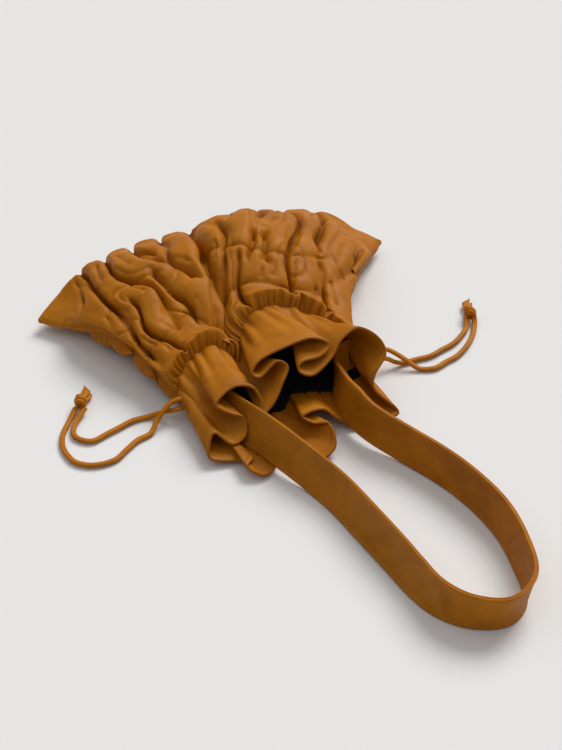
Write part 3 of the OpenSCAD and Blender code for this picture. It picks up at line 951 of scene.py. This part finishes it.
def make_collar():
    """The collar's middle surface from neck to hem, its normals, and how it thickens at its seam."""
    count, rows = ((1100, 56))
    hem, neck, place = hem_and_neck(count)
    t = 1 - (1 - np.linspace(0, 1, rows)[:, None, None])**1.5
    spread = t ** 1.12
    grid = neck[None] * (1 - spread) + hem[None] * spread
    along = distance_along(hem)
    outward = ring_normals(grid)
    pleat = np.sin(along / 0.0065 + 1.5 * np.sin(along / 0.021)) + 0.6 * np.sin(along / 0.0113 + 2)
    fade = np.exp(-t[..., 0] / 0.16) * (1 - np.exp(-t[..., 0] / 0.04))
    slow = smooth_noise((rows, count), (5, 70), 5) * 0.0014 * np.sin(math.pi * t[..., 0])
    from_hem = (1 - t[..., 0]) * COLLAR_DEPTH
    sewn = HEM_BEAD * np.exp(-((from_hem - 0.0018) / 0.0014)**2)
    sewn = sewn - STITCH_DENT * np.exp(-((from_hem - STITCH_INSET) / 0.0008)**2)
    grid = grid + (PLEAT_H * fade * pleat[None] + slow)[..., None] * outward
    grid[..., 2] = np.maximum(grid[..., 2], COLLAR_LOWEST)
    sewn = np.broadcast_to(sewn, grid.shape[:2])[..., None]
    return grid, ring_normals(grid), along, place, t[:, 0, 0], sewn


collar_grid, collar_out, hem_along, neck_place, collar_t, sewn_line = make_collar()
outer = collar_grid + (LAYER + sewn_line) * collar_out
inner = collar_grid - (LAYER + sewn_line) * collar_out
roll = []
hem_ahead = unit(collar_grid[-1] - collar_grid[-4])
for angle in np.linspace(0.5 * math.pi, -0.5 * math.pi, 7)[1:-1]:
    roll.append(collar_grid[-1] + 1.25 * LAYER * (math.sin(angle) * collar_out[-1]
                                                 + 1.2 * math.cos(angle) * hem_ahead))
facing_end = int(np.searchsorted(collar_t, FACING_END))
shell = np.concatenate([outer, np.array(roll), inner[facing_end:][::-1]])
collar = grid_object("collar_leather_piece", shell[:, :-1], closed_cols=True)
finish_piece(collar, "bag", collar_leather,
             ["front_collar", "back_collar", "front_facing", "back_facing"])

stitch_row = int(np.searchsorted(collar_t, 1 - STITCH_INSET / COLLAR_DEPTH))
hem_stitches = stitches("hem_topstitch", [(outer[stitch_row], collar_out[stitch_row]),
                                          (inner[stitch_row], -collar_out[stitch_row])],
                        thread, length=0.0022, pitch=0.0032, width=0.0009)
finish_piece(hem_stitches, "bag", None, ["hem_stitching"])

# ---------------------------------------------------------------- black lining inside the mouth


# Rings of the lining: inset from the collar at places from neck to hem, then from the body at
# places from neck to base
COLLAR_RINGS = ((0.36, 0.5 * LAYER), (0.29, 1.8 * LAYER), (0.15, 0.0040), (0.05, 0.0080))
BODY_RINGS = ((0.03, 0.0105), (0.12, 0.0105), (0.3, 0.009), (0.5, 0.009), (0.68, 0.010))


def make_lining():
    """A black bag that starts behind the facing's edge and is drawn almost shut at its far end."""
    rings = []
    for t, inset in COLLAR_RINGS:
        row = int(np.searchsorted(collar_t, t))
        out = ring_smoothed(collar_out[row], 6)
        rings.append(ring_smoothed(collar_grid[row], 4 if t < 0.3 else 1) - inset * unit(out))
    for v, inset in BODY_RINGS:
        rings.append(ring_smoothed(body_ring(neck_place, v, inset), 12))
    middle = rings[-1].mean(0)
    rings.append(middle + np.array([0, 0.010, 0]) + (rings[-1] - middle) * np.array([0.7, 0.7, 0.5]))
    rings.append(middle + np.array([0, 0.016, 0]) + (rings[-2] - middle) * 0.01)
    return np.array(rings)


lining = grid_object("mouth_lining", make_lining()[:, :-1], closed_cols=True)
finish_piece(lining, "bag", lining_cloth,
             ["front_lining", "back_lining", "front_casing", "back_casing"])

# ---------------------------------------------------------------- drawstrings inside their channel

CHANNEL_PLACE = 0.01
CHANNEL_INSET = 0.0042
RUN_SHIFT = 0.0022

channel = ring_smoothed(body_ring(neck_place, CHANNEL_PLACE, CHANNEL_INSET), 14)
channel = resample(channel, 220)
for name, shift in (("left", -RUN_SHIFT), ("right", RUN_SHIFT)):
    ring = channel + np.array([0, shift + 0.002, 0])
    run = swept("drawstring_run_" + name, ring[:-1], cord_section(10))
    finish_piece(run, "bag", cord_leather, [name + "_drawstring_run"])

# ---------------------------------------------------------------- strap

STRAP_W = 0.040
STRAP_THICK = 0.0044
STRAP_SEAM = 0.425
STRAP_LOWEST = 0.0003
STRAP_CROWN = 0.0010
# Lower edge as (x, y, height above the floor) and how far the upper edge leans out over it, (x, y)
STRAP_ROUTE = [(-90, -112, 8, 0, 34), (-80, -132, 7, 8, 28), (-72, -160, 6, 15, 17),
               (-60, -190, 6, 17, 8), (-45, -225, 4, 17, 2), (-30, -265, 0, 17, 0),
               (-15, -330, 0, 16, 0), (-5, -405, 0, 14, 0), (8, -445, 0, 6, 0), (30, -470, 0, 0, -2),
               (60, -477, 0, -1, -6), (86, -457, 0, 5, -5), (98, -415, 0, 9, -1),
               (102, -365, 0, 9, 0), (95, -310, 0, 8, 0), (70, -255, 0, 10, 0), (45, -208, 5, 10, 2),
               (37, -180, 7, 13, 2), (37, -158, 4, 12, 5), (45, -135, 3, 8, 12),
               (65, -119, 5, 0, 18), (90, -116, 8, 0, 20)]


def strap_section():
    """Two layers of leather with rounded edges and a groove between them."""
    up = np.array([-0.5, -0.5, -0.492, -0.47, -0.40, -0.38, 0.38, 0.40, 0.47, 0.492, 0.5, 0.5])
    side = np.array([0.12, 0.30, 0.44, 0.52, 0.50, 0.45, 0.45, 0.50, 0.52, 0.44, 0.30, 0.12])
    right = np.stack([STRAP_THICK * side, up], axis=1)
    left = np.stack([-STRAP_THICK * side[::-1], up[::-1]], axis=1)
    notch_top = np.array([[0, 0.470]])
    notch_low = np.array([[0, -0.470]])
    return np.vstack([notch_low, right, notch_top, left])


def make_strap():
    """The strap's ribbon, and the lines of its stitches as (points, outward normals)."""
    count = 420
    route = spline(np.array(STRAP_ROUTE, float) * MM, count)
    foot = route[:, :3] + np.array([0, 0, STRAP_LOWEST])
    foot[:, 2] = np.maximum(foot[:, 2], STRAP_LOWEST)
    lean = route[:, 3:]
    rise = np.sqrt(STRAP_W**2 - (lean**2).sum(-1))
    ups = unit(np.column_stack([lean, rise]))
    path = foot + 0.5 * STRAP_W * ups
    s = np.linspace(0, 1, count)
    wave = 0.0012 * np.sin(23 * s + 1) + 0.0008 * np.sin(51 * s)
    section = np.repeat(strap_section()[None], count, axis=0)
    edge = section[..., 1]
    section[..., 0] += (wave[:, None] * 4 * edge**2) - STRAP_CROWN * np.cos(math.pi * edge)
    section[..., 1] *= STRAP_W
    piece = swept("strap_ribbon", path, section, up=ups)
    side, top = frames_along(path, ups)
    lines = []
    for face in (1, -1):
        for edge_at in (-STRAP_SEAM, STRAP_SEAM):
            offset = wave[:, None] * 4 * edge_at**2 - STRAP_CROWN * math.cos(math.pi * edge_at)
            line = path + (offset + face * STRAP_THICK * 0.475) * side + edge_at * STRAP_W * top
            lines.append((line, face * side))
    return piece, lines


strap, strap_lines = make_strap()
finish_piece(strap, None, strap_leather,
             ["strap_outer", "strap_lining", "left_strap_end", "right_strap_end"])
strap_stitches = stitches("strap_topstitch", strap_lines, thread,
                          length=0.0022, pitch=0.0034, width=0.0006)
finish_piece(strap_stitches, None, None, ["strap_stitching", "strap_end_stitching"])
for piece in (strap, strap_stitches):
    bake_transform(piece)

# ---------------------------------------------------------------- seams

SEAM_W, SEAM_H = 0.0050, 0.0032

# The side seams from the neck to the ears, and the base seam from ear to ear
for name, edge in (("left", front_core[4:, 0]), ("right", front_core[4:, -1]), ("base", front_core[-1])):
    line = resample(edge, 160)
    out = unit(line)
    out[:, 2] = 0.02
    piece = swept(name + "_seam_edge", line, oval(SEAM_W, SEAM_H, 14, groove=0.25), up=unit(out))
    finish_piece(piece, "bag", body_leather, [name + "_seam_strip"])
